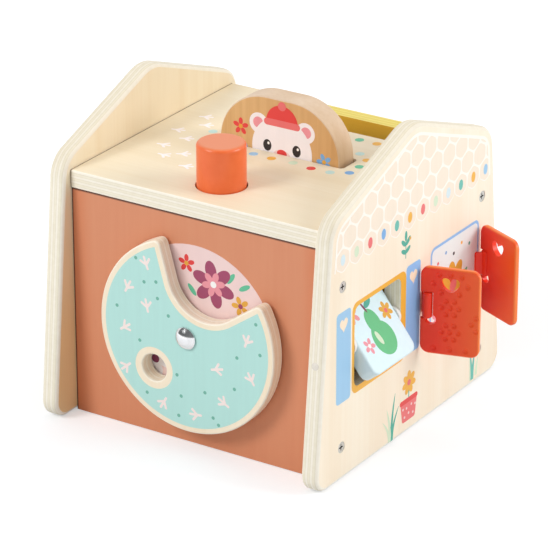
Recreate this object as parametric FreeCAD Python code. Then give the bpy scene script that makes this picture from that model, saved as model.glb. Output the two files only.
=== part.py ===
import FreeCAD, Part
import math
import os

from FreeCAD import Placement, Rotation, Vector

# Wooden farm activity house for small children, in millimetres.
# X runs to the right along the front, Y to the back, Z up.
# The origin is on the floor, under the middle of the house.

# ---- boards
boardThickness = 12.0
innerWidth = 185.0
topHeight = 167.2
jointGap = 0.2
topOverhang = 1.0
topEdgeRound = 1.0

# ---- gabled side panels
floorHalfDepth = 115.6
sideFlare = 5.6
gableApex = 210.3
gableSlope = 20.0
gableRadius = 30.0
cageSetback = 23.9
eaveRadius = 20.0
footRadius = 12.0
panelRound = 3.0

# ---- base board in the rebates of the other four, flush with the floor
baseThickness = 5.0
rebateDepth = 4.0
rebateClearance = 0.15

# ---- countersunk panel screws
screwHeights = (22.6, 131.0)
screwShankRadius = 1.75
screwHeadRadius = 3.7
screwHeadDepth = 2.8
screwLength = 34.0
screwSink = 0.3
screwFit = 0.15
crossLength = 4.2
crossWidth = 0.9
crossDepth = 1.3

# ---- dowels between the top board and the front and back boards
dowelRadius = 3.0
dowelLength = 20.0
dowelSpread = 62.0
dowelFit = 0.05
dowelEndGap = 0.5

# ---- everything that is played with on the front and the top sits on this line
playX = 1.4

# ---- turning disc with its bite
discRadius = 64.8
discThickness = 10.4
discGap = 1.6
discHeight = 78.3
discEdgeRound = 1.1
biteDirection = 70.5
biteHalfAngle = 37.6
biteRadius = 28.3
biteDistance = 44.5
biteTipRound = 4.0
fingerRadius = 9.2
fingerDistance = 36.1
fingerDirection = 227.4
fingerEdgeRound = 1.0

# ---- bolt of the disc
boltRadius = 3.0
boltFit = 0.08
boltHeadRadius = 7.5
boltHeadHeight = 4.2
boltHeadRim = 1.0
boltHeadGap = 0.2
washerRadius = 9.0
washerFit = 0.05
innerWasherThickness = 1.5
nutFlatWidth = 10.0
nutHeight = 6.0
boltEnd = 2.0

# ---- pop-up board in the slot of the top board, its foot guided by two rails
popUpX = 3.3
popUpHalfWidth = 44.9
popUpAboveTop = 36.6
popUpShoulder = 35.0
popUpThickness = 17.6
popUpFront = 1.0
popUpSideGap = 0.8
popUpEndGap = 2.9
popUpEdgeRound = 1.0
popUpTravel = 20.0
popUpStopGap = 0.6
footReach = 52.3
footHeight = 12.0
footRound = 2.0
slotCorner = 3.0
railGap = 0.6
railWall = 5.0
railCheek = 6.0
railBelowFoot = 2.0

# ---- rocker that lifts the pop-up board when the button is pressed
rockerNose = 4.0
rockerBoss = 7.0
rockerDrop = 9.5
rockerWidth = 12.0
rockerContactGap = 0.3
rockerPinRadius = 3.0
rockerPinFit = 0.08
rockerPinInset = 0.2
rockerSideGap = 0.4
blockWall = 8.0
blockHalfDepth = 8.0
blockCorner = 5.0
blockHeadroom = 6.0

# ---- drop notch at the back of the top board
notchHalfWidth = 54.0
notchOpening = 22.0
notchCorner = 4.0

# ---- push button, held in its sleeve by a cross pin
buttonRadius = 15.7
buttonHoleRadius = 16.6
buttonInset = 29.4
buttonProud = 29.0
buttonRound = 2.6
buttonTravel = 16.0
crossPinRadius = 2.5
crossPinReach = 21.0
crossPinFit = 0.05
crossPinDrop = 0.4
crossPinPlay = 0.3
sleeveClearance = 0.5
sleeveWall = 2.3
sleeveDepth = 28.0
sleeveReliefGap = 1.5
sleeveReliefRise = 15.0
flangeThickness = 3.0
flangeReach = 30.0
flangeBehind = 20.3
flangeCorner = 4.0
sleeveScrewAcross = 25.0
sleeveScrewSpots = (-11.2, 14.3)
sleeveScrewRadius = 1.4
sleeveScrewHeadRadius = 2.6
sleeveScrewHeadHeight = 1.8
sleeveScrewLength = 11.0
sleeveScrewFit = 0.1
sleeveScrewEndGap = 0.2

# ---- flip tile in the window
windowY = -43.7
windowZ = 84.8
windowWidth = 55.6
windowHeight = 54.4
windowCorner = 5.0
tileWidth = 50.0
tileLength = 52.0
tileThickness = 12.0
tileCorner = 6.0
tileEdgeRound = 1.5
tileTilt = 37.4
tilePinRadius = 2.5
tilePinFit = 0.08
tilePinSeat = 14.0
tilePinSeatFit = 0.05
spacerRadius = 6.6

# ---- red shutter doors; across is counted from the hinge line
doorHeight = 59.8
doorThickness = 3.5
doorReach = 35.5
doorTail = 3.4
doorCorner = 6.0
doorEdgeRound = 1.2
hingeStandoff = 4.7
frontHingeY = 7.6
rearHingeY = 82.8
frontDoorOpen = 74.5
rearDoorOpen = 65.0
frontDoorMiddle = 82.4
rearDoorMiddle = 83.7
hingeBarRadius = 1.1
hingeBarFit = 0.08
hingeBarSeat = 1.5
hingeSlotFar = 4.9
hingeSlotGap = 0.4
keyholeAcross = 3.6
keyholeDrop = 0.7
keyholeRadius = 3.5
bracketHeight = 17.6
bracketRise = 3.3
bracketHeadRadius = 3.3
bracketHeadOffset = 1.05
bracketHeadRound = 1.4
bracketLegNear = -1.2
bracketLegFar = 2.6
bracketLegLap = 1.0
bracketFootLift = 0.6
bracketFootSkew = 0.6
tenonNear = 2.8
tenonFar = 5.4
tenonDepth = 8.0
tenonFit = 0.1
heartWidth = 12.2
heartHeight = 9.8
heartBelowTop = 11.4
heartBellyAcross = 4.7
heartBellyBelow = 1.7
dimpleRadius = 1.9
dimpleDepth = 0.9
rosettePitch = 5.4
rosettesBelowTop = (27.0, 43.8)
ringCrown = 6.8
ringUpper = 6.3
ringUpperAside = 7.3
ringAside = 11.0
ringLower = 5.5
ringLowerAside = 5.9
bottomRowUp = 4.0
bottomRowPitch = 10.4
tripleAcross = 30.0
tripleBelowTop = 36.6
triplePitch = 4.6
tripleBulge = 3.0

# ---- sizes that follow from the ones above
halfInner = innerWidth / 2
cageHalfDepth = floorHalfDepth - cageSetback
halfOuter = halfInner + boardThickness
topUnderside = topHeight - boardThickness
cageInner = cageHalfDepth - boardThickness
topHalfDepth = cageHalfDepth + topOverhang
buttonY = buttonInset - cageHalfDepth
flangeBack = buttonY + flangeBehind
flareRun = math.tan(math.radians(sideFlare))
slopeRise = math.tan(math.radians(gableSlope))
eaveY = (floorHalfDepth - flareRun * gableApex) / (1 - flareRun * slopeRise)
eaveZ = gableApex - slopeRise * eaveY
slotHalf = popUpHalfWidth + popUpEndGap
slotFront = popUpFront - popUpSideGap
slotBack = popUpFront + popUpThickness + popUpSideGap
popUpMiddle = popUpFront + popUpThickness / 2
footTop = topUnderside - popUpTravel - popUpStopGap
popUpBottom = footTop - footHeight
notchFront = cageInner - notchOpening
discBack = -cageHalfDepth - discGap
discFront = discBack - discThickness
panelMidX = halfInner + boardThickness / 2
boardMidY = cageHalfDepth - boardThickness / 2
crossPinZ = topUnderside - crossPinDrop - crossPinRadius
sleeveInner = buttonRadius + sleeveClearance
rockerFrontArm = (popUpMiddle - buttonY) * buttonTravel / (buttonTravel + popUpTravel)
rockerRearArm = popUpMiddle - buttonY - rockerFrontArm
rockerSwing = math.degrees(math.asin(buttonTravel / 2 / rockerFrontArm))
rockerY = buttonY + rockerFrontArm
rockerZ = popUpBottom - rockerContactGap - rockerNose + popUpTravel / 2
buttonBottom = rockerZ + buttonTravel / 2 + rockerNose + rockerContactGap
hingeX = halfOuter + hingeStandoff
doorCentre = (doorReach - doorTail) / 2

up = Vector(0, 0, 1)
along = Vector(0, 1, 0)
across = Vector(1, 0, 0)


def box(low, high):
    size = [b - a for a, b in zip(low, high)]
    return Part.makeBox(size[0], size[1], size[2], Vector(*low))


def rod(radius, start, end):
    a = Vector(*start)
    path = Vector(*end) - a
    return Part.makeCylinder(radius, path.Length, a, path)


def joined(shapes):
    first, rest = shapes[0], shapes[1:]
    return first.fuse(rest).removeSplitter() if rest else first


def outline(points, radii, place):
    """Closed wire through 2D points whose corners are rounded by tangent arcs."""
    count = len(points)
    starts, ends, middles = [], [], []
    for i in range(count):
        corner = Vector(*points[i], 0)
        before = (Vector(*points[i - 1], 0) - corner).normalize()
        after = (Vector(*points[(i + 1) % count], 0) - corner).normalize()
        half = before.getAngle(after) / 2
        reach = radii[i] / math.tan(half)
        starts.append(corner + before * reach)
        ends.append(corner + after * reach)
        inward = (before + after).normalize()
        middles.append(corner + inward * (radii[i] / math.sin(half) - radii[i]))
    edges = []
    for i in range(count):
        if radii[i] > 0:
            arc = [place(p.x, p.y) for p in (starts[i], middles[i], ends[i])]
            edges.append(Part.Arc(*arc).toShape())
        following = starts[(i + 1) % count]
        if (following - ends[i]).Length > 1e-6:
            straight = [place(p.x, p.y) for p in (ends[i], following)]
            edges.append(Part.LineSegment(*straight).toShape())
    return Part.Wire(edges)


def prism(points, radii, place, direction):
    return Part.Face(outline(points, radii, place)).extrude(direction)


def rectangle(u, v, width, height):
    return [(u - width / 2, v - height / 2), (u + width / 2, v - height / 2),
            (u + width / 2, v + height / 2), (u - width / 2, v + height / 2)]


def rimEdges(shape, axis, values):
    """Edges that lie wholly in one of the planes axis = value."""
    found = []
    for edge in shape.Edges:
        low = getattr(edge.BoundBox, axis + "Min")
        high = getattr(edge.BoundBox, axis + "Max")
        if high - low < 1e-4 and any(abs(low - value) < 1e-4 for value in values):
            found.append(edge)
    return found


def bodyPlace(x):
    return lambda y, z: Vector(x, y, z)


def screwSpots():
    return [(side * boardMidY, z) for side in (-1, 1) for z in screwHeights]


def panelScrew(side, y, z, grow):
    """One screw, its head sunk in the outer face; grow widens it into its own hole."""
    seat = Vector(side * (halfOuter - screwSink), y, z)
    inward = Vector(-side, 0, 0)
    outward = Vector(side, 0, 0)
    shank = Part.makeCylinder(screwShankRadius + grow, screwLength + grow, seat, inward)
    head = Part.makeCone(screwHeadRadius + grow, screwShankRadius + grow, screwHeadDepth, seat, inward)
    if not grow:
        return shank.fuse(head)
    mouth = Part.makeCylinder(screwHeadRadius + grow, screwSink + grow, seat, outward)
    return shank.fuse([head, mouth])


def sidePanel(side):
    points = [(-floorHalfDepth, 0), (floorHalfDepth, 0), (eaveY, eaveZ), (0, gableApex), (-eaveY, eaveZ)]
    radii = [footRadius, footRadius, eaveRadius, gableRadius, eaveRadius]
    low = halfInner if side > 0 else -halfOuter
    panel = prism(points, radii, bodyPlace(low), Vector(boardThickness, 0, 0))
    panel = panel.makeFillet(panelRound, rimEdges(panel, "X", (low, low + boardThickness)))
    cuts = [panelScrew(side, y, z, screwFit) for y, z in screwSpots()]
    cuts.append(baseRebate())
    if side > 0:
        cuts.append(windowCut())
        cuts.append(tilePinHole())
        cuts.append(bracketTenon(frontHingeY, 1, frontDoorMiddle, tenonFit))
        cuts.append(bracketTenon(rearHingeY, -1, rearDoorMiddle, tenonFit))
    return panel.cut(cuts)


def baseRebate():
    wide = halfInner + rebateDepth
    deep = cageInner + rebateDepth
    return box((-wide, -deep, -1), (wide, deep, baseThickness + rebateClearance))


def windowCut():
    frame = rectangle(windowY, windowZ, windowWidth, windowHeight)
    place = bodyPlace(halfInner - 1)
    return prism(frame, [windowCorner] * 4, place, Vector(boardThickness + 2, 0, 0))


def frontEdgeAt(z):
    return -(floorHalfDepth - flareRun * z)


def tilePinEnds():
    back = windowY + windowWidth / 2 + tilePinSeat
    return frontEdgeAt(windowZ), back


def tilePinHole():
    front, back = tilePinEnds()
    radius = tilePinRadius + tilePinSeatFit
    return rod(radius, (panelMidX, front - boardThickness, windowZ), (panelMidX, back, windowZ))


def cageBoard(side, top):
    """Front or back board between the side panels."""
    ys = sorted((side * cageInner, side * cageHalfDepth))
    board = box((-halfInner + jointGap, ys[0], 0), (halfInner - jointGap, ys[1], top))
    cuts = [baseRebate()]
    for end in (-1, 1):
        cuts += [panelScrew(end, side * boardMidY, z, screwFit) for z in screwHeights]
    cuts += [dowel(x, side, dowelFit) for x in (-dowelSpread, dowelSpread)]
    return board, cuts


def dowel(x, side, grow):
    half = dowelLength / 2 + (dowelEndGap if grow else 0)
    y = side * boardMidY
    middle = topUnderside - dowelLength / 2 + boardThickness / 2
    return rod(dowelRadius + grow, (x, y, middle - half), (x, y, middle + half))


def frontPanel():
    board, cuts = cageBoard(-1, topUnderside)
    ends = (playX, -cageHalfDepth - 1, discHeight), (playX, -cageInner + 1, discHeight)
    hole = rod(boltRadius + washerFit, *ends)
    return board.cut(cuts + [hole])


def backPanel():
    """The back board fills the notch of the top board with a raised middle."""
    board, cuts = cageBoard(1, topUnderside)
    width = 2 * (notchHalfWidth - jointGap)
    tongue = box((-width / 2, cageInner, topUnderside), (width / 2, cageHalfDepth, topHeight))
    return board.cut(cuts).fuse(tongue).removeSplitter()


def basePanel():
    wide = halfInner + rebateDepth - rebateClearance
    deep = cageInner + rebateDepth - rebateClearance
    return box((-wide, -deep, 0), (wide, deep, baseThickness))


def topPanel():
    half = halfInner - jointGap
    board = box((-half, -topHalfDepth, topUnderside), (half, topHalfDepth, topHeight))
    rims = [e for e in rimEdges(board, "Z", (topUnderside, topHeight))
            if e.BoundBox.YLength < 1e-4]
    board = board.makeFillet(topEdgeRound, rims)
    top = lambda x, y: Vector(x, y, topUnderside - 1)
    through = Vector(0, 0, boardThickness + 2)
    middle = (slotFront + slotBack) / 2
    mouth = rectangle(popUpX, middle, 2 * slotHalf, slotBack - slotFront)
    slot = prism(mouth, [slotCorner] * 4, top, through)
    notch = prism([(-notchHalfWidth, notchFront), (notchHalfWidth, notchFront),
                   (notchHalfWidth, topHalfDepth + 1), (-notchHalfWidth, topHalfDepth + 1)],
                  [notchCorner, notchCorner, 0, 0], top, through)
    hole = rod(buttonHoleRadius, (playX, buttonY, topUnderside - 1), (playX, buttonY, topHeight + 1))
    cuts = [slot, notch, hole]
    cuts += [dowel(x, side, dowelFit) for x in (-dowelSpread, dowelSpread) for side in (-1, 1)]
    cuts += sleeveScrews(sleeveScrewFit)
    return board.cut(cuts)


def popUpBoard():
    """Board with round shoulders; its wider foot stops it under the top board."""
    place = lambda x, z: Vector(popUpX + x, popUpFront, z)
    top = topHeight + popUpAboveTop
    right = [(footReach, popUpBottom), (footReach, footTop), (popUpHalfWidth, footTop), (popUpHalfWidth, top)]
    points = right + [(-x, z) for x, z in reversed(right)]
    radii = [footRound, footRound, footRound, popUpShoulder]
    board = prism(points, radii + radii[::-1], place, along * popUpThickness)
    faces = (popUpFront, popUpFront + popUpThickness)
    return board.makeFillet(popUpEdgeRound, rimEdges(board, "Y", faces))


def guideRails():
    rails = []
    for side in (-1, 1):
        inner = popUpX + side * slotHalf
        groove = popUpX + side * (footReach + railGap)
        xs = sorted((inner, groove + side * railWall))
        low = popUpBottom - railBelowFoot
        rail = box((xs[0], slotFront - railCheek, low), (xs[1], slotBack + railCheek, topUnderside))
        xs = sorted((inner - side, groove))
        rails.append(rail.cut(box((xs[0], slotFront, low - 1), (xs[1], slotBack, topUnderside + 1))))
    return Part.makeCompound(rails)


def rockerAt(y, x=0, rise=0):
    return playX + x, rockerY + y, rockerZ + rise


def rockerRound(radius, reach, rise):
    half = rockerWidth / 2
    return rod(radius, rockerAt(reach, -half, rise), rockerAt(reach, half, rise))


def rockerWeb(start, end):
    """Web as thick as the noses between two points of the lever."""
    near, far = [Vector(*rockerAt(reach, -rockerWidth / 2, rise)) for reach, rise in (start, end)]
    aside = (far - near).cross(across).normalize() * rockerNose
    corners = [near + aside, far + aside, far - aside, near - aside]
    return Part.Face(Part.makePolygon(corners + corners[:1])).extrude(across * rockerWidth)


def rockerLever():
    """Two-armed lever with upright round noses, built level and then tilted button side up."""
    pieces = [rockerRound(rockerBoss, 0, 0)]
    for reach in (-rockerFrontArm, rockerRearArm):
        nose, elbow = (reach, 0), (reach, -rockerDrop)
        pieces += [rockerRound(rockerNose, *nose), rockerRound(rockerNose, *elbow)]
        pieces += [rockerWeb((0, 0), elbow), rockerWeb(elbow, nose)]
    half = rockerWidth / 2
    bore = rod(rockerPinRadius + rockerPinFit, rockerAt(0, -half - 1), rockerAt(0, half + 1))
    lever = joined(pieces).cut(bore)
    lever.rotate(Vector(*rockerAt(0)), across, -rockerSwing)
    return lever


def blockHalf():
    return rockerWidth / 2 + rockerSideGap + blockWall


def rockerPin():
    half = blockHalf() - rockerPinInset
    return rod(rockerPinRadius, rockerAt(0, -half), rockerAt(0, half))


def rockerBlock():
    """Fork under the top board that carries the pin of the lever."""
    low = rockerZ - rockerBoss
    points = [(-blockHalfDepth, low), (blockHalfDepth, low), (blockHalfDepth, topUnderside),
              (-blockHalfDepth, topUnderside)]
    place = lambda y, z: Vector(playX - blockHalf(), rockerY + y, z)
    block = prism(points, [blockCorner, blockCorner, 0, 0], place, across * 2 * blockHalf())
    half = rockerWidth / 2 + rockerSideGap
    gap = box((playX - half, rockerY - blockHalfDepth - 1, low - 1),
              (playX + half, rockerY + blockHalfDepth + 1, rockerZ + rockerBoss + blockHeadroom))
    bore = rod(rockerPinRadius + washerFit, rockerAt(0, -blockHalf() - 1), rockerAt(0, blockHalf() + 1))
    return block.cut([gap, bore])


def discPoint(distance, angle):
    turn = math.radians(angle)
    return Vector(playX + distance * math.cos(turn), discBack, discHeight + distance * math.sin(turn))


def turningDisc():
    """Round disc with a scalloped bite whose straight flanks run to rounded tips."""
    tipAlong = discRadius * math.cos(math.radians(biteHalfAngle))
    tipAside = discRadius * math.sin(math.radians(biteHalfAngle))
    toTip = math.hypot(tipAlong - biteDistance, tipAside)
    lean = math.atan2(tipAside, tipAlong - biteDistance) + math.acos(biteRadius / toTip)
    seatAlong = biteDistance + biteRadius * math.cos(lean)
    seatAside = biteRadius * math.sin(lean)

    def spot(alongBite, aside):
        turn = math.degrees(math.atan2(aside, alongBite))
        return discPoint(math.hypot(alongBite, aside), biteDirection + turn)

    tips = [spot(tipAlong, side * tipAside) for side in (1, -1)]
    seats = [spot(seatAlong, side * seatAside) for side in (1, -1)]
    rim = Part.Arc(tips[0], discPoint(discRadius, biteDirection + 180), tips[1])
    scallop = Part.Arc(seats[1], spot(biteDistance - biteRadius, 0), seats[0])
    edges = [rim.toShape(), Part.LineSegment(tips[1], seats[1]).toShape(),
             scallop.toShape(), Part.LineSegment(seats[0], tips[0]).toShape()]
    disc = Part.Face(Part.Wire(edges)).extrude(Vector(0, -discThickness, 0))
    corners = [e for e in disc.Edges if e.BoundBox.XLength < 1e-4 and e.BoundBox.ZLength < 1e-4
               and any(math.hypot(e.BoundBox.XMin - t.x, e.BoundBox.ZMin - t.z) < 1e-3 for t in tips)]
    disc = disc.makeFillet(biteTipRound, corners)
    disc = disc.makeFillet(discEdgeRound, rimEdges(disc, "Y", (discBack, discFront)))
    finger = discPoint(fingerDistance, fingerDirection)
    hole = rod(fingerRadius, (finger.x, discBack + 1, finger.z), (finger.x, discFront - 1, finger.z))
    bore = rod(boltRadius + boltFit, (playX, discBack + 1, discHeight), (playX, discFront - 1, discHeight))
    disc = disc.cut([hole, bore])
    mouth = [e for e in rimEdges(disc, "Y", (discFront,))
             if abs(e.BoundBox.XLength - 2 * fingerRadius) < 1e-2]
    return disc.makeFillet(fingerEdgeRound, mouth)


def discBolt():
    seat = discFront - boltHeadGap
    nutFace = -cageInner + innerWasherThickness + nutHeight
    shank = rod(boltRadius, (playX, seat, discHeight), (playX, nutFace + boltEnd, discHeight))
    rim = rod(boltHeadRadius, (playX, seat, discHeight), (playX, seat - boltHeadRim, discHeight))
    rise = boltHeadHeight - boltHeadRim
    ball = (boltHeadRadius ** 2 + rise ** 2) / (2 * rise)
    centre = Vector(playX, seat - boltHeadHeight + ball, discHeight)
    reach = boltHeadRadius * 1.5
    cap = box((playX - reach, seat - boltHeadHeight - 1, discHeight - reach),
              (playX + reach, seat - boltHeadRim, discHeight + reach))
    dome = Part.makeSphere(ball, centre).common(cap)
    return joined([shank, rim, dome])


def discWasher():
    ends = (playX, discBack + jointGap / 2, discHeight), (playX, -cageHalfDepth, discHeight)
    return rod(washerRadius, *ends).cut(rod(boltRadius + washerFit, *ends))


def innerWasher():
    ends = (playX, -cageInner, discHeight), (playX, -cageInner + innerWasherThickness, discHeight)
    return rod(washerRadius, *ends).cut(rod(boltRadius + washerFit, *ends))


def discNut():
    base = -cageInner + innerWasherThickness
    radius = nutFlatWidth / math.sqrt(3)
    corners = [Vector(playX + radius * math.cos(math.radians(60 * k)), base,
                      discHeight + radius * math.sin(math.radians(60 * k))) for k in range(6)]
    body = Part.Face(Part.makePolygon(corners + corners[:1])).extrude(Vector(0, nutHeight, 0))
    ends = (playX, base, discHeight), (playX, base + nutHeight, discHeight)
    return body.cut(rod(boltRadius + washerFit, *ends))


def buttonSpot(z):
    return playX, buttonY, z


def pushButton():
    top = topHeight + buttonProud
    head = rod(buttonRadius, buttonSpot(buttonBottom), buttonSpot(top))
    head = head.makeFillet(buttonRound, rimEdges(head, "Z", (top,)))
    return head.cut(crossPin(crossPinFit))


def crossPin(grow):
    ends = [(playX + side * crossPinReach, buttonY, crossPinZ) for side in (-1, 1)]
    return rod(crossPinRadius + grow, *ends)


def sleeveScrews(grow):
    """Four screws of the sleeve; grow turns them into the holes they sit in."""
    screws = []
    seat = topUnderside - flangeThickness
    for x in (playX - sleeveScrewAcross, playX + sleeveScrewAcross):
        for y in [buttonY + spot for spot in sleeveScrewSpots]:
            tip = seat + sleeveScrewLength + (sleeveScrewEndGap if grow else 0)
            shank = rod(sleeveScrewRadius + grow, (x, y, seat), (x, y, tip))
            head = rod(sleeveScrewHeadRadius, (x, y, seat - sleeveScrewHeadHeight), (x, y, seat))
            screws.append(shank if grow else joined([head, shank]))
    return screws


def buttonSleeve():
    """Sleeve with a flange, two upright slots for the cross pin and a relief for the lever."""
    bottom = topUnderside - sleeveDepth
    outer = rod(sleeveInner + sleeveWall, buttonSpot(bottom), buttonSpot(topUnderside))
    corners = [(playX - flangeReach, -cageInner), (playX + flangeReach, -cageInner),
               (playX + flangeReach, flangeBack), (playX - flangeReach, flangeBack)]
    place = lambda x, y: Vector(x, y, topUnderside - flangeThickness)
    flange = prism(corners, [0, 0, flangeCorner, flangeCorner], place, up * flangeThickness)
    hollow = rod(sleeveInner, buttonSpot(bottom - 1), buttonSpot(topUnderside + 1))
    half = crossPinRadius + crossPinPlay
    reach = crossPinReach + crossPinPlay
    slots = box((playX - reach, buttonY - half, crossPinZ - buttonTravel - half),
                (playX + reach, buttonY + half, topUnderside + 1))
    side = rockerWidth / 2 + sleeveReliefGap
    relief = box((playX - side, buttonY, bottom - 1), (playX + side, flangeBack, rockerZ + sleeveReliefRise))
    wall = box((playX - flangeReach, -cageHalfDepth, 0), (playX + flangeReach, -cageInner, topUnderside))
    return joined([outer, flange]).cut([hollow, slots, relief, wall] + sleeveScrews(sleeveScrewFit))


def tileShape():
    place = bodyPlace(panelMidX - tileThickness / 2)
    face = rectangle(windowY, windowZ, tileWidth, tileLength)
    tile = prism(face, [tileCorner] * 4, place, Vector(tileThickness, 0, 0))
    faces = (panelMidX - tileThickness / 2, panelMidX + tileThickness / 2)
    tile = tile.makeFillet(tileEdgeRound, rimEdges(tile, "X", faces))
    half = tileWidth / 2 + 1
    ends = (panelMidX, windowY - half, windowZ), (panelMidX, windowY + half, windowZ)
    bore = rod(tilePinRadius + tilePinFit, *ends)
    tile = tile.cut(bore)
    tile.rotate(Vector(panelMidX, windowY, windowZ), along, -tileTilt)
    return tile


def tilePin():
    front, back = tilePinEnds()
    start = panelMidX, front - boardThickness, windowZ
    pin = rod(tilePinRadius, start, (panelMidX, back - jointGap, windowZ))
    edge = Part.Face(Part.makePolygon([Vector(halfInner, frontEdgeAt(z), z) for z in (0, topHeight)]
                     + [Vector(halfInner, frontEdgeAt(z) - floorHalfDepth, z) for z in (topHeight, 0)]
                     + [Vector(halfInner, frontEdgeAt(0), 0)]))
    return pin.cut(edge.extrude(Vector(boardThickness, 0, 0)))


def tileSpacers():
    rings = []
    space = (windowWidth - tileWidth) / 2
    for side in (-1, 1):
        inner = windowY + side * (tileWidth / 2 + jointGap)
        outer = windowY + side * (tileWidth / 2 + space - jointGap / 2)
        ends = (panelMidX, inner, windowZ), (panelMidX, outer, windowZ)
        rings.append(rod(spacerRadius, *ends).cut(rod(tilePinRadius + tilePinSeatFit, *ends)))
    return Part.makeCompound(rings)


def heartPrism(yCentre, zCentre, place, direction):
    """Heart of two round lobes and a point, around its own centre."""
    lobe = heartWidth / 4
    high = zCentre + heartHeight / 2 - lobe
    low = Vector(yCentre, zCentre - heartHeight / 2, 0)
    edges = []
    top = place(yCentre, high)
    point = place(low.x, low.y)
    for side in (-1, 1):
        outer = place(yCentre + side * 2 * lobe, high)
        crown = place(yCentre + side * lobe, high + lobe)
        belly = place(yCentre + side * heartBellyAcross, zCentre - heartBellyBelow)
        edges.append(Part.Arc(top, crown, outer).toShape())
        edges.append(Part.Arc(outer, belly, point).toShape())
    wire = Part.Wire(Part.__sortEdges__(edges))
    return Part.Face(wire).extrude(direction)


def dimpleSpots(top):
    heartUp = top - heartBelowTop
    spots = [(doorCentre, heartUp + ringCrown)]
    for side in (-1, 1):
        spots.append((doorCentre + side * ringUpperAside, heartUp + ringUpper))
        spots.append((doorCentre + side * ringAside, heartUp))
        spots.append((doorCentre + side * ringLowerAside, heartUp - ringLower))
    for below in rosettesBelowTop:
        spots.append((doorCentre, top - below))
        for k in range(6):
            turn = math.radians(60 * k)
            around = rosettePitch * math.cos(turn), rosettePitch * math.sin(turn)
            spots.append((doorCentre + around[0], top - below + around[1]))
    for k in (-1, 0, 1):
        spots.append((doorCentre + k * bottomRowPitch, top - doorHeight + bottomRowUp))
        spots.append((tripleAcross + abs(k) * tripleBulge, top - tripleBelowTop + k * triplePitch))
    return spots


def bracketSpan(middle):
    low = middle + bracketRise - bracketHeight / 2
    return low, low + bracketHeight


def door(hingeY, way, openAngle, middle):
    """Shutter door, built shut along the panel and then swung to its open pose."""
    back = hingeX - doorThickness / 2
    face = back + doorThickness
    bottom, top = middle - doorHeight / 2, middle + doorHeight / 2
    place = lambda u, z: Vector(back, hingeY + way * u, z)
    through = lambda u, z: place(u, z) - across
    points = [(-doorTail, bottom), (doorReach, bottom), (doorReach, top), (-doorTail, top)]
    plate = prism(points, [doorCorner] * 4, place, Vector(doorThickness, 0, 0))
    plate = plate.makeFillet(doorEdgeRound, rimEdges(plate, "X", (back, face)))
    ball = (dimpleRadius ** 2 + dimpleDepth ** 2) / (2 * dimpleDepth)
    cuts = [heartPrism(doorCentre, top - heartBelowTop, through, across * (doorThickness + 2))]
    for u, z in dimpleSpots(top):
        cuts.append(Part.makeSphere(ball, place(u, z) + across * (doorThickness - dimpleDepth + ball)))
    low, high = bracketSpan(middle)
    slot = [(-doorTail - 1, low - hingeSlotGap), (hingeSlotFar, low - hingeSlotGap),
            (hingeSlotFar, high + hingeSlotGap), (-doorTail - 1, high + hingeSlotGap)]
    cuts.append(prism(slot, [0] * 4, through, across * (doorThickness + 2)))
    keyhole = through(keyholeAcross, low - keyholeDrop)
    cuts.append(Part.makeCylinder(keyholeRadius, doorThickness + 2, keyhole, across))
    past = hingeSlotGap + hingeBarSeat
    ends = (hingeX, hingeY, low - past), (hingeX, hingeY, high + past)
    leaf = plate.cut(cuts).fuse(rod(hingeBarRadius, *ends))
    leaf.rotate(Vector(hingeX, hingeY, 0), up, -way * openAngle)
    return leaf


def bracketTenon(hingeY, way, middle, grow):
    low, high = bracketSpan(middle)
    ys = sorted((hingeY + way * (tenonNear - grow), hingeY + way * (tenonFar + grow)))
    return box((halfOuter - tenonDepth - grow, ys[0], low + bracketHeadRound - grow),
               (halfOuter + (1 if grow else 0), ys[1], high - bracketHeadRound + grow))


def doorBracket(hingeY, way, middle):
    """Bracket of a door: a bored head on a slanted leg with a tenon in the panel."""
    low, high = bracketSpan(middle)
    centre = hingeX + bracketHeadOffset
    head = rod(bracketHeadRadius, (centre, hingeY, low), (centre, hingeY, high))
    head = head.makeFillet(bracketHeadRound, rimEdges(head, "Z", (low, high)))
    place = lambda x, aside: Vector(x, hingeY + way * aside, low + bracketHeadRound)
    lift, inside = halfOuter + bracketFootLift, halfOuter - bracketLegLap
    points = [(hingeX, bracketLegNear), (lift, tenonNear), (inside, tenonNear), (inside, tenonFar),
              (lift + bracketFootSkew, tenonFar), (hingeX, bracketLegFar)]
    leg = prism(points, [0] * 6, place, up * (high - low - 2 * bracketHeadRound))
    bore = rod(hingeBarRadius + hingeBarFit, (hingeX, hingeY, low), (hingeX, hingeY, high))
    return joined([head, leg, bracketTenon(hingeY, way, middle, 0)]).cut(bore)


def panelScrews(side):
    made = []
    for y, z in screwSpots():
        screw = panelScrew(side, y, z, 0)
        face = side * (halfOuter - screwSink)
        xs = sorted((face + side, face - side * crossDepth))
        for long, wide in ((crossLength, crossWidth), (crossWidth, crossLength)):
            screw = screw.cut(box((xs[0], y - long / 2, z - wide / 2), (xs[1], y + long / 2, z + wide / 2)))
        made.append(screw)
    return Part.makeCompound(made)


def topDowels():
    return Part.makeCompound([dowel(x, side, 0) for x in (-dowelSpread, dowelSpread) for side in (-1, 1)])


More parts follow.
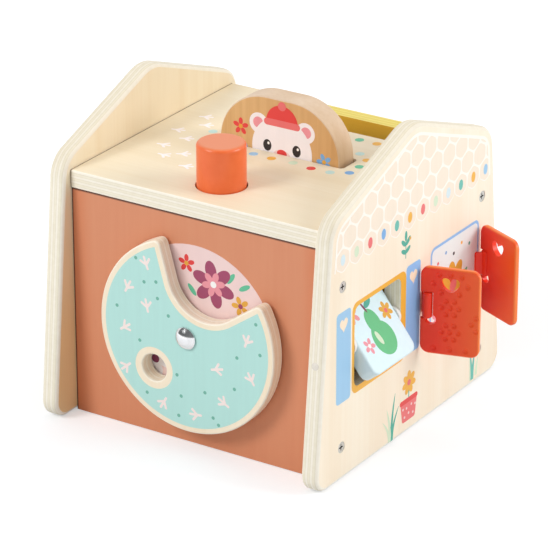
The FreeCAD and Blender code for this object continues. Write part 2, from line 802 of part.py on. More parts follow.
nodes = {
    "left_side_panel": sidePanel(-1),
    "right_side_panel": sidePanel(1),
    "front_panel": frontPanel(),
    "back_panel": backPanel(),
    "top_panel": topPanel(),
    "base_panel": basePanel(),
    "left_panel_screws": panelScrews(-1),
    "right_panel_screws": panelScrews(1),
    "top_dowels": topDowels(),
    "turning_disc": turningDisc(),
    "disc_bolt": discBolt(),
    "disc_spacer_washer": discWasher(),
    "disc_inner_washer": innerWasher(),
    "disc_nut": discNut(),
    "pop_up_animal": popUpBoard(),
    "pop_up_guide_rails": guideRails(),
    "rocker_lever": rockerLever(),
    "rocker_pin": rockerPin(),
    "rocker_block": rockerBlock(),
    "push_button": pushButton(),
    "button_cross_pin": crossPin(0),
    "button_sleeve": buttonSleeve(),
    "button_sleeve_screws": Part.makeCompound(sleeveScrews(0)),
    "picture_tile": tileShape(),
    "tile_pin": tilePin(),
    "tile_spacers": tileSpacers(),
    "front_door": door(frontHingeY, 1, frontDoorOpen, frontDoorMiddle),
    "rear_door": door(rearHingeY, -1, rearDoorOpen, rearDoorMiddle),
    "front_door_bracket": doorBracket(frontHingeY, 1, frontDoorMiddle),
    "rear_door_bracket": doorBracket(rearHingeY, -1, rearDoorMiddle),
}

os.makedirs("parts", exist_ok=True)
for name, shape in nodes.items():
    assert shape.isValid(), name
    shape.exportStep("parts/" + name + ".step")
    print(name, len(shape.Solids), round(shape.Volume, 1))
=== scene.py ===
import math

import bmesh
import bpy
from mathutils import Matrix, Vector


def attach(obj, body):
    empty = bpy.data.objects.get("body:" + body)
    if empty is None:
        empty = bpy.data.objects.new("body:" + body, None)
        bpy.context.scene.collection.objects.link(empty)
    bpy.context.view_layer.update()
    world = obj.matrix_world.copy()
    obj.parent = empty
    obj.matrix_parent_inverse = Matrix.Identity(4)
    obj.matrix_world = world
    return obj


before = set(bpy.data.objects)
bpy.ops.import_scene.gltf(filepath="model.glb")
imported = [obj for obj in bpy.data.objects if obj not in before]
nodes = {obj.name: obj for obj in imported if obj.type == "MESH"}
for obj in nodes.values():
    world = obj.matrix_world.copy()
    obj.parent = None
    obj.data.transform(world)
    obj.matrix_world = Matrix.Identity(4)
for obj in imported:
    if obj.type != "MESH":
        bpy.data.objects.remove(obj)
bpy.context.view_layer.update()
mm = 0.001  # dictionaries hold millimetres and degrees, but the studio's lengths are metres
weld = 1e-6
white = (1, 1, 1, 1)


def tone(red, green, blue):
    # an everyday 0-255 colour as the linear values that the shaders take
    def linear(c):
        c = c / 255
        return c / 12.92 if c <= 0.04045 else ((c + 0.055) / 1.055) ** 2.4
    return linear(red), linear(green), linear(blue), 1


print("stage: shader tools")


def newMaterial(name, roughness):
    material = bpy.data.materials.new(name)
    material.use_nodes = True
    tree = material.node_tree
    bsdf = tree.nodes["Principled BSDF"]
    bsdf.inputs["Roughness"].default_value = roughness
    return material, tree, bsdf


def feed(tree, value, socket):
    # a plain value is set on the socket, and an output is linked to it
    if isinstance(value, bpy.types.NodeSocket):
        tree.links.new(value, socket)
    else:
        socket.default_value = value


def combine(tree, operation, *values):
    node = tree.nodes.new("ShaderNodeMath")
    node.operation = operation
    for value, socket in zip(values, node.inputs):
        feed(tree, value, socket)
    return node.outputs[0]


def between(tree, value, start, end, low=0.0, high=1.0):
    # low at start, high at end, and held beyond them
    reach = tree.nodes.new("ShaderNodeMapRange")
    for name, number in zip(("From Min", "From Max", "To Min", "To Max"), (start, end, low, high)):
        reach.inputs[name].default_value = number
    tree.links.new(value, reach.inputs["Value"])
    return reach.outputs["Result"]


def objectPlace(tree):
    return tree.nodes.new("ShaderNodeTexCoord").outputs["Object"]


def scaledPlace(tree, scales):
    mapping = tree.nodes.new("ShaderNodeMapping")
    mapping.inputs["Scale"].default_value = scales
    tree.links.new(objectPlace(tree), mapping.inputs["Vector"])
    return mapping.outputs["Vector"]


def axisValue(tree, axis):
    split = tree.nodes.new("ShaderNodeSeparateXYZ")
    tree.links.new(objectPlace(tree), split.inputs[0])
    return split.outputs["XYZ".index(axis)]


def distanceFrom(tree, place, point):
    apart = tree.nodes.new("ShaderNodeVectorMath")
    apart.operation = "DISTANCE"
    apart.inputs[1].default_value = point
    tree.links.new(place, apart.inputs[0])
    return apart.outputs["Value"]


def noise(tree, scales, detail, rough=0.55):
    cloud = tree.nodes.new("ShaderNodeTexNoise")
    cloud.inputs["Scale"].default_value = 1
    cloud.inputs["Detail"].default_value = detail
    cloud.inputs["Roughness"].default_value = rough
    tree.links.new(scaledPlace(tree, scales), cloud.inputs["Vector"])
    return cloud.outputs["Fac"]


def ramp(tree, factor, stops):
    colours = tree.nodes.new("ShaderNodeValToRGB")
    bar = colours.color_ramp
    while len(bar.elements) < len(stops):
        bar.elements.new(0.5)
    for element, (position, colour) in zip(bar.elements, stops):
        element.position = position
        element.color = colour
    tree.links.new(factor, colours.inputs["Fac"])
    return colours.outputs["Color"]


def spread(tree, factor, stretch, light, dark):
    return ramp(tree, factor, list(zip(stretch, (light, dark))))


def blendColours(tree, factor, first, second, mode="MIX"):
    mix = tree.nodes.new("ShaderNodeMix")
    mix.data_type = "RGBA"
    mix.blend_type = mode
    # this node has sockets for each kind of value, and these are the ones for colours
    for value, place in ((factor, 0), (first, 6), (second, 7)):
        feed(tree, value, mix.inputs[place])
    return mix.outputs[2]


def shaded(tree, colour, shade):
    return blendColours(tree, 1.0, colour, shade, "MULTIPLY")


def addBump(tree, bsdf, height, strength, distance):
    bump = tree.nodes.new("ShaderNodeBump")
    bump.inputs["Strength"].default_value = strength
    bump.inputs["Distance"].default_value = distance
    tree.links.new(height, bump.inputs["Height"])
    tree.links.new(bump.outputs["Normal"], bsdf.inputs["Normal"])


print("stage: camera and studio")
studio = {
    "cameraAt": (1.0777, -1.6805, 0.9593),
    "cameraTurn": (66.291, 0, 32.651),
    "lens": 221.0,
    "sensor": 36,
    "farthest": 50,
    "worldLight": 0.55,
    "lamps": [  # place, power, size
        ((-1.0, -1.7, 1.5), 27, 0.8),
        ((1.7, 0.7, 1.0), 21, 1.0),
        ((0.2, 0.4, 2.1), 4.5, 1.2),
    ],
    "lampAim": (0, 0, 0.1),
    "floorReach": 12.0,
    "floorDrop": 0.0004,
    "floorTone": (212, 214, 217),
    "floorRoughness": 0.9,
    "floorShine": 0.1,
    "floorLift": (0.45, 1.6, 0.41, 0.75),  # from this far, to this far, and the light there
    "screenAt": (-0.8, -1.25, 1.3),
    "screenReach": (2.8, 1.12),
    "screenTone": (0.16, 0.17, 0.17, 1),
    "screenRoughness": 0.5,
}


def makeCamera():
    scene = bpy.context.scene
    scene.view_settings.view_transform = "Standard"
    cameraData = bpy.data.cameras.new("camera")
    cameraData.lens = studio["lens"]
    cameraData.sensor_width = studio["sensor"]
    cameraData.clip_end = studio["farthest"]
    camera = bpy.data.objects.new("camera", cameraData)
    camera.location = studio["cameraAt"]
    camera.rotation_euler = [math.radians(a) for a in studio["cameraTurn"]]
    scene.collection.objects.link(camera)
    scene.camera = camera


def makeWorld():
    # soft light on the object, and plain white where the world itself is seen
    world = bpy.data.worlds.new("studioWorld")
    world.use_nodes = True
    bpy.context.scene.world = world
    tree = world.node_tree
    tree.nodes.clear()
    mix = tree.nodes.new("ShaderNodeMixShader")
    path = tree.nodes.new("ShaderNodeLightPath")
    glossy, clear = path.outputs["Is Glossy Ray"], path.outputs["Is Transmission Ray"]
    mirrored = combine(tree, "MAXIMUM", glossy, clear)
    seen = combine(tree, "MAXIMUM", path.outputs["Is Camera Ray"], mirrored)
    tree.links.new(seen, mix.inputs[0])
    for strength, socket in ((studio["worldLight"], mix.inputs[1]), (1.0, mix.inputs[2])):
        sky = tree.nodes.new("ShaderNodeBackground")
        sky.inputs["Color"].default_value = white
        sky.inputs["Strength"].default_value = strength
        tree.links.new(sky.outputs[0], socket)
    tree.links.new(mix.outputs[0], tree.nodes.new("ShaderNodeOutputWorld").inputs[0])


def makeLamps():
    for i, (place, power, size) in enumerate(studio["lamps"]):
        lampData = bpy.data.lights.new("lamp%d" % i, "AREA")
        lampData.energy = power
        lampData.size = size
        lamp = bpy.data.objects.new("lamp%d" % i, lampData)
        lamp.location = place
        aim = Vector(studio["lampAim"]) - Vector(place)
        lamp.rotation_euler = aim.to_track_quat("-Z", "Y").to_euler()
        bpy.context.scene.collection.objects.link(lamp)


def studioPlane(name, reach, turn, place, material):
    bm = bmesh.new()
    bmesh.ops.create_grid(bm, x_segments=1, y_segments=1, size=1)
    bmesh.ops.scale(bm, verts=bm.verts, vec=(*reach, 1))
    bmesh.ops.rotate(bm, verts=bm.verts, matrix=Matrix.Rotation(math.radians(turn), 3, "X"))
    bmesh.ops.translate(bm, verts=bm.verts, vec=place)
    mesh = bpy.data.meshes.new(name)
    bm.to_mesh(mesh)
    bm.free()
    mesh.materials.append(material)
    plane = bpy.data.objects.new(name, mesh)
    bpy.context.scene.collection.objects.link(plane)
    return plane


def makeFloor():
    material, tree, bsdf = newMaterial("floorPaper", studio["floorRoughness"])
    bsdf.inputs["Base Color"].default_value = tone(*studio["floorTone"])
    bsdf.inputs["Specular IOR Level"].default_value = studio["floorShine"]
    # the paper is lifted more where it is far off, so that no horizon shows
    lift = between(tree, distanceFrom(tree, objectPlace(tree), (0, 0, 0)), *studio["floorLift"])
    path = tree.nodes.new("ShaderNodeLightPath")
    seen = combine(tree, "MAXIMUM", path.outputs["Is Camera Ray"], path.outputs["Is Glossy Ray"])
    glow = tree.nodes.new("ShaderNodeEmission")
    glow.inputs["Color"].default_value = white
    tree.links.new(combine(tree, "MULTIPLY", seen, lift), glow.inputs["Strength"])
    add = tree.nodes.new("ShaderNodeAddShader")
    tree.links.new(bsdf.outputs[0], add.inputs[0])
    tree.links.new(glow.outputs[0], add.inputs[1])
    tree.links.new(add.outputs[0], tree.nodes["Material Output"].inputs[0])
    reach = studio["floorReach"]
    floor = studioPlane("studioFloor", (reach, reach), 0, (0, 0, -studio["floorDrop"]), material)


def makeScreen():
    # dark and upright, it only shows as a reflection in polished metal and plastic
    material, _, bsdf = newMaterial("screenPaper", studio["screenRoughness"])
    bsdf.inputs["Base Color"].default_value = studio["screenTone"]
    screen = studioPlane("studioScreen", studio["screenReach"], 90, studio["screenAt"], material)
    screen.visible_camera = screen.visible_diffuse = False
    screen.visible_shadow = screen.visible_transmission = False


makeCamera()
makeWorld()
makeLamps()
makeFloor()
makeScreen()

print("stage: wood, paint, plastic and metal")
grain = {  # noise scales across and along the grain, and where each noise runs from light to dark
    "bands": (38, 2.2), "streaks": (420, 9.0), "bandSpread": (0.3, 0.72),
    "streakSpread": (0.35, 0.75), "bump": 0.0001, "boardShare": 0.25, "grownShare": 0.3,
}
paint = {"brushed": (300, 14), "rolled": (120, 120), "spread": (0.3, 0.75), "bump": 0.00008}
plastic = {"mottle": 60, "spread": (0.3, 0.7), "pores": 900, "poreShare": 0.08, "bump": 0.00005,
           "shine": 0.35, "coatRoughness": 0.25}
metal = {"spread": (0.3, 0.8), "dim": 0.8, "markShare": 0.1, "bump": 0.00003}
ply = {  # the first three as shares of the board's thickness
    "glueHalf": 0.018, "faceFrom": 0.4965, "innerFaceFrom": 0.9965,
    "speckle": 260, "speckleSpread": (0.3, 0.8),
    "speckleLight": (0.985, 0.98, 0.97, 1),
    "speckleDark": (0.93, 0.915, 0.885, 1),
    # painted shade on the sloping edges, and how far up it fades in
    "slopeShade": (0.88, 0.86, 0.83, 1), "slopeShadeFade": 12,
    # painted shade and painted bounce light on the inner face beside the painted board
    "bounceShadeTone": (1, 0.84, 0.62, 1), "bounceShadeTo": 60, "shine": 0.35,
}
# painted shade: the dark tone for joints between boards and for screw recesses
paintedShadeTone = (0.08, 0.05, 0.04, 1)


def grainScales(along, fine, length):
    return tuple(length if a == along else fine for a in "XYZ")


def woodGrain(tree, look):
    # broad soft bands and fine streaks, both drawn out along the grain
    bands = noise(tree, grainScales(look["along"], *grain["bands"]), detail=3.0)
    streaks = noise(tree, grainScales(look["along"], *grain["streaks"]), detail=3.0, rough=0.6)
    colour = spread(tree, bands, grain["bandSpread"], look["faceLight"], look["faceDark"])
    shade = spread(tree, streaks, grain["streakSpread"], white, look["streak"])
    return shaded(tree, colour, shade), streaks


def plyEdge(tree, look, span):
    # the plies show as lines wherever the surface leaves the flat faces
    plies, half = look["plies"], ply["glueHalf"]
    sheets = look["plyLight"], look["plyDark"]
    stops = [(0.0, sheets[0])]
    for i in range(1, plies):
        near, far = sheets[(i - 1) % 2], sheets[i % 2]
        stops += [(i / plies - half, near), (i / plies, look["glue"]), (i / plies + half, far)]
    colour = ramp(tree, span, stops)
    speckle = noise(tree, (ply["speckle"],) * 3, detail=2.0, rough=0.7)
    shade = spread(tree, speckle, ply["speckleSpread"], ply["speckleLight"], ply["speckleDark"])
    if "slopeFrom" in look:
        # painted shade: the sloping edges are painted darker
        start, end = look["slopeFrom"] - ply["slopeShadeFade"], look["slopeFrom"]
        slope = between(tree, axisValue(tree, "Z"), start * mm, end * mm)
        colour = blendColours(tree, slope, colour, shaded(tree, colour, ply["slopeShade"]))
    return shaded(tree, colour, shade)


def paintedShadeBand(tree, colour, axis, start, end, shade=paintedShadeTone):
    # painted shade in a band along one axis, alike on both sides of the middle: a thin joint beside a
    # neighbouring board, a screw head's recess, or a wider fade
    place = between(tree, combine(tree, "ABSOLUTE", axisValue(tree, axis)), start * mm, end * mm)
    return shaded(tree, colour, spread(tree, place, (0.0, 1.0), white, shade))


def boardMaterial(name, look):
    material, tree, bsdf = newMaterial(name, look["roughness"])
    low, high = look["span"]
    span = between(tree, axisValue(tree, look["axis"]), low * mm, high * mm)
    face, streaks = woodGrain(tree, look)
    off = combine(tree, "ABSOLUTE", combine(tree, "SUBTRACT", span, 0.5))
    onFace = combine(tree, "GREATER_THAN", off, ply["faceFrom"])
    colour = blendColours(tree, onFace, plyEdge(tree, look, span), face)
    # painted shade bands listed in the look
    for shadeBand in look.get("paintedShadeBands", ()):
        colour = paintedShadeBand(tree, colour, *shadeBand)
    if "bounceShadeFrom" in look:
        # painted shade and painted bounce light: the strip of the inner face beside the painted board is
        # painted darker and warmer towards the bottom, in that board's colour
        inner = combine(tree, "GREATER_THAN", span, ply["innerFaceFrom"])
        fade = between(tree, axisValue(tree, "Z"), look["bounceShadeFrom"] * mm, ply["bounceShadeTo"] * mm)
        bounceShaded = shaded(tree, colour, ply["bounceShadeTone"])
        colour = blendColours(tree, combine(tree, "MULTIPLY", inner, fade), colour, bounceShaded)
    tree.links.new(colour, bsdf.inputs["Base Color"])
    bsdf.inputs["Specular IOR Level"].default_value = ply["shine"]
    addBump(tree, bsdf, streaks, grain["boardShare"], grain["bump"])
    return material


def grownWood(name, look):
    material, tree, bsdf = newMaterial(name, look["roughness"])
    colour, streaks = woodGrain(tree, look)
    if "stain" in look:
        front = combine(tree, "LESS_THAN", axisValue(tree, "Y"), look["frontY"] * mm)
        back = combine(tree, "GREATER_THAN", axisValue(tree, "Y"), look["backY"] * mm)
        stained = woodGrain(tree, dict(look, **look["stain"]))[0]
        colour = blendColours(tree, combine(tree, "MAXIMUM", front, back), colour, stained)
    tree.links.new(colour, bsdf.inputs["Base Color"])
    addBump(tree, bsdf, streaks, grain["grownShare"], grain["bump"])
    return material


def paintMaterial(name, look):
    material, tree, bsdf = newMaterial(name, look["roughness"])
    strokes = paint["brushed" if "along" in look else "rolled"]
    mottle = noise(tree, grainScales(look.get("along", "Z"), *strokes), detail=3.0)
    colour = spread(tree, mottle, paint["spread"], look["light"], look["dark"])
    # painted shade bands listed in the look
    for shadeBand in look.get("paintedShadeBands", ()):
        colour = paintedShadeBand(tree, colour, *shadeBand)
    # painted sheen: a paler tone on the top face
    if "top" in look:
        start, end, paintedSheenTone = look["top"]
        paintedSheenMask = between(tree, axisValue(tree, "Z"), start * mm, end * mm)
        colour = blendColours(tree, paintedSheenMask, colour, paintedSheenTone)
    tree.links.new(colour, bsdf.inputs["Base Color"])
    addBump(tree, bsdf, mottle, look["bump"], paint["bump"])
    return material


def paintedDoorLight(tree, colour, look, node):
    # painted light: the door is painted lighter towards its free edge as a painted sheen, and lighter
    # still along its rim as a painted glow through the thin plastic
    hinge = look["hinges"][node]
    far = max((v.co.xy - Vector(hinge) * mm).length for v in nodes[node].data.vertices)
    heights = [corner[2] for corner in nodes[node].bound_box]
    apart = distanceFrom(tree, scaledPlace(tree, (1, 1, 0)), (hinge[0] * mm, hinge[1] * mm, 0))
    up = axisValue(tree, "Z")
    colour = blendColours(tree, between(tree, apart, look["sheenFrom"] * mm, far), colour, look["free"])
    start, end = look["sideRimLight"]
    rim = between(tree, apart, far - start * mm, far - end * mm)
    for end, inward in ((max(heights), -look["endRimLight"]), (min(heights), look["endRimLight"])):
        rim = combine(tree, "MAXIMUM", rim, between(tree, up, end + inward * mm, end))
    return blendColours(tree, rim, colour, look["rim"])


def plasticMaterial(name, look, doorNode=None):
    material, tree, bsdf = newMaterial(name, look["roughness"])
    bsdf.inputs["Specular IOR Level"].default_value = plastic["shine"]
    mottle = noise(tree, (plastic["mottle"],) * 3, detail=2.0)
    colour = spread(tree, mottle, plastic["spread"], look["light"], look["dark"])
    if doorNode:
        colour = paintedDoorLight(tree, colour, look, doorNode)
    tree.links.new(colour, bsdf.inputs["Base Color"])
    bsdf.inputs["Coat Weight"].default_value = look["coat"]
    bsdf.inputs["Coat Roughness"].default_value = plastic["coatRoughness"]
    pores = noise(tree, (plastic["pores"],) * 3, detail=2.0)
    addBump(tree, bsdf, pores, plastic["poreShare"], plastic["bump"])
    return material


def metalMaterial(name, look):
    material, tree, bsdf = newMaterial(name, look["roughness"])
    bsdf.inputs["Metallic"].default_value = 1.0
    marks = noise(tree, look["marks"], detail=3.0, rough=0.7)
    dim = tuple(metal["dim"] * c for c in look["colour"][:3]) + (1,)
    shade = spread(tree, marks, metal["spread"], look["colour"], dim)
    # painted shade in the screw head's recess
    if "recessShade" in look:
        shade = paintedShadeBand(tree, shade, *look["recessShade"])
    tree.links.new(shade, bsdf.inputs["Base Color"])
    addBump(tree, bsdf, marks, metal["markShare"], metal["bump"])
    return material


birch = {
    "faceLight": tone(240, 227, 199), "faceDark": tone(231, 211, 176), "streak": (0.98, 0.965, 0.94, 1),
    "plyLight": tone(253, 247, 233), "plyDark": tone(246, 239, 219), "glue": tone(229, 220, 195),
    "plies": 7, "roughness": 0.5,
}
# painted shade: a dark line at each end of the top board, in the joint beside the wall board
topBirch = dict(birch, faceLight=tone(243, 231, 206), faceDark=tone(236, 220, 189),
                paintedShadeBands=[("X", 91.4, 92.2, (0.2, 0.13, 0.07, 1))])
printedBirch = dict(birch, faceLight=tone(250, 239, 219), faceDark=tone(245, 228, 203))
# painted light: the disc's plies are painted lighter than the other boards, standing in for light on the
# shaded wall of its bite
discBirchLit = dict(birch, faceLight=tone(252, 238, 214), faceDark=tone(248, 230, 202), plies=5,
                  plyLight=tone(254, 246, 229), plyDark=tone(249, 236, 214), glue=tone(231, 211, 183))
mustard = dict(birch, faceLight=tone(235, 188, 66), faceDark=tone(224, 174, 54),
               streak=(0.97, 0.96, 0.93, 1), plyLight=tone(236, 220, 122), plyDark=tone(228, 208, 104),
               glue=tone(214, 190, 88), roughness=0.55)
boards = {  # the axis across the board and the two faces on it, then the way of the grain
    # painted shade on the sloping edges, and painted shade and bounce light low on the left wall's inner
    # face
    "left_side_panel": ("leftWallBirch", dict(birch, axis="X", span=(-104.5, -92.5), along="Z",
                                              slopeFrom=172, bounceShadeFrom=155)),
    "right_side_panel": ("rightWallBirch", dict(printedBirch, axis="X", span=(92.5, 104.5), along="Z",
                                                slopeFrom=172)),
    "top_panel": ("topBoardBirch", dict(topBirch, axis="Z", span=(155.2, 167.2), along="X")),
    "base_panel": ("baseBoardBirch", dict(birch, axis="Z", span=(0.0, 5.0), along="X", plies=3)),
    "back_panel": ("mustardBoard", dict(mustard, axis="Y", span=(79.7, 91.7), along="X")),
    "turning_disc": ("discBirch", dict(discBirchLit, axis="Y", span=(-103.7, -93.3), along="Z")),
}
popUpWood = {
    "faceLight": tone(224, 200, 175), "faceDark": tone(208, 178, 145), "streak": (0.95, 0.92, 0.88, 1),
    "along": "Z", "roughness": 0.48, "frontY": 1.05, "backY": 18.55,
    "stain": {
        "faceLight": tone(224, 182, 126), "faceDark": tone(207, 160, 103), "streak": (0.89, 0.84, 0.77, 1),
    },
}
innerWood = {
    "faceLight": tone(232, 205, 165), "faceDark": tone(214, 182, 138), "streak": (0.93, 0.9, 0.84, 1),
    "along": "Z", "roughness": 0.6,
}
buttonTop = max(corner[2] for corner in nodes["push_button"].bound_box) / mm
paints = {
    "front_panel": ("terracottaPaint", {
        "light": tone(217, 144, 107), "dark": tone(215, 140, 103),
        "roughness": 0.6, "along": "Z", "bump": 0.07,
        # painted shade: dark joints beside the side and top boards, a darker warmer band near each side
        # board, and darker towards the bottom
        "paintedShadeBands": [("X", 91.1, 92.1), ("Z", 153.4, 154.6), ("X", 78, 91, (0.96, 0.8, 0.68, 1)),
                  ("Z", 90, 10, (1, 0.94, 0.88, 1))],
    }),
    "push_button": ("orangePaint", {
        "light": tone(238, 111, 54), "dark": tone(233, 103, 46), "roughness": 0.34, "bump": 0.06,
        # painted sheen: the button's top face is painted paler
        "top": (buttonTop - 0.9, buttonTop - 0.1, tone(226, 130, 84)),
    }),
    "picture_tile": ("tilePaint", {
        "light": tone(224, 242, 246), "dark": tone(213, 234, 240),
        "roughness": 0.42, "along": "Z", "bump": 0.1,
    }),
}
redPlastic = {
    "light": tone(253, 54, 18), "dark": tone(248, 47, 14), "roughness": 0.32, "coat": 0.1,
    # painted light: "free" is the painted sheen towards the door's free edge, and the rim tones are a
    # painted glow along its edges
    "free": tone(255, 98, 32), "sheenFrom": 8,
    "rim": tone(255, 134, 66), "sideRimLight": (1.5, 0.3), "endRimLight": 1.2,
    "hinges": {"front_door": (109.2, 7.6), "rear_door": (109.2, 82.8)},
}
whitePlastic = {"light": tone(240, 238, 234), "dark": tone(228, 226, 220), "roughness": 0.45, "coat": 0.0}
brightSteel = {"colour": (0.82, 0.82, 0.83, 1), "roughness": 0.12, "marks": (40, 900, 40)}
satinSteel = {"colour": (0.84, 0.79, 0.71, 1), "roughness": 0.6, "marks": (300, 300, 300)}
plainSteel = {"colour": (0.62, 0.6, 0.56, 1), "roughness": 0.3, "marks": (500, 500, 500)}
# the screw heads get painted shade in their recess
screwSteel = dict(plainSteel, colour=(0.62, 0.6, 0.55, 1), roughness=0.38, recessShade=("X", 104.18, 104.08))


def dress(node, material):
    for slot in nodes[node].material_slots:
        slot.material = material


for node, (name, look) in boards.items():
    dress(node, boardMaterial(name, look))
dress("pop_up_animal", grownWood("popUpBoardWood", popUpWood))
for node in ("pop_up_guide_rails", "rocker_lever", "rocker_block", "top_dowels"):
    dress(node, grownWood(node + "Wood", innerWood))
for node, (name, look) in paints.items():
    dress(node, paintMaterial(name, look))
for node in redPlastic["hinges"]:
    dress(node, plasticMaterial(node + "Plastic", redPlastic, node))
for node in ("front_door_bracket", "rear_door_bracket"):
    dress(node, plasticMaterial(node + "Plastic", redPlastic))
sharedPlastic = plasticMaterial("whitePlastic", whitePlastic)
for node in ("button_sleeve", "tile_spacers", "disc_spacer_washer"):
    dress(node, sharedPlastic)
dress("disc_bolt", metalMaterial("brightSteel", brightSteel))
dress("tile_pin", metalMaterial("satinSteel", satinSteel))
for node in ("button_sleeve_screws", "disc_inner_washer", "disc_nut", "rocker_pin", "button_cross_pin"):
    dress(node, metalMaterial(node + "Steel", plainSteel))
for node in ("left_panel_screws", "right_panel_screws"):
    dress(node, metalMaterial(node + "Steel", screwSteel))

print("stage: printing tools")
inkTones = {
    "teal": (184, 228, 220), "trackPink": (250, 232, 226), "paleRose": (255, 246, 246),
    "leafGreen": (96, 190, 150), "discDot": (116, 181, 163), "paleGreen": (214, 230, 200),
    "paleBlue": (214, 232, 238), "blue": (120, 172, 222), "skyBlue": (156, 199, 230),
    "shutterBlue": (143, 193, 241), "yellow": (240, 178, 62), "deepYellow": (228, 168, 58),
    "red": (226, 62, 60), "coral": (232, 112, 112), "pink": (242, 212, 208), "blossom": (236, 150, 160),
    "plum": (160, 66, 100), "plumDark": (128, 48, 84), "white": (250, 248, 244),
    "paleTeal": (196, 226, 220), "ink": (34, 22, 26), "green": (98, 190, 130),
    "darkTeal": (70, 170, 150), "dotTeal": (100, 186, 172),
    "tileBlue": (222, 243, 250), "peach": (245, 230, 210), "paleGrey": (236, 246, 243),
    "faceWhite": (246, 240, 242), "birchShow": (250, 228, 200), "scaleLine": (255, 247, 236),
}
inkLook = {"roughness": 0.46, "along": "Z", "bump": 0.08}
printing = {"thick": 0.05, "layerStep": 0.03, "overlapStep": 0.001, "overlapSteps": 24,
            "cornerSteps": 5, "mottle": 0.985}
bladeShape = {"steps": 8, "taper": 0.7, "tip": 0.05}
trackShape = {  # toes as their turn and length, then shares of the track's size
    "toes": ((-46, 1.0), (0, 1.1), (46, 1.0), (180, 0.6)),
    "reach": 0.34, "wide": 0.23, "overhang": 0.16, "corner": 0.11,
}
petalShape = {"out": 0.6, "wide": 0.27, "long": 0.42, "middle": 0.26}
inks = {}


def ink(name):
    if name not in inks:
        dim = [printing["mottle"] * c for c in inkTones[name]]
        look = dict(inkLook, light=tone(*inkTones[name]), dark=tone(*dim))
        inks[name] = paintMaterial(name + "Ink", look)
    return inks[name]


def addPiece(name, bm, inkNames, body):
    bmesh.ops.recalc_face_normals(bm, faces=bm.faces)
    mesh = bpy.data.meshes.new(name)
    bm.to_mesh(mesh)
    bm.free()
    for inkName in inkNames:
        mesh.materials.append(ink(inkName))
    sheet = bpy.data.objects.new(name, mesh)
    bpy.context.scene.collection.objects.link(sheet)
    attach(sheet, body)


def raisedVerts(bm, faces):
    raised = bmesh.ops.extrude_face_region(bm, geom=faces)["geom"]
    return [g for g in raised if isinstance(g, bmesh.types.BMVert)]


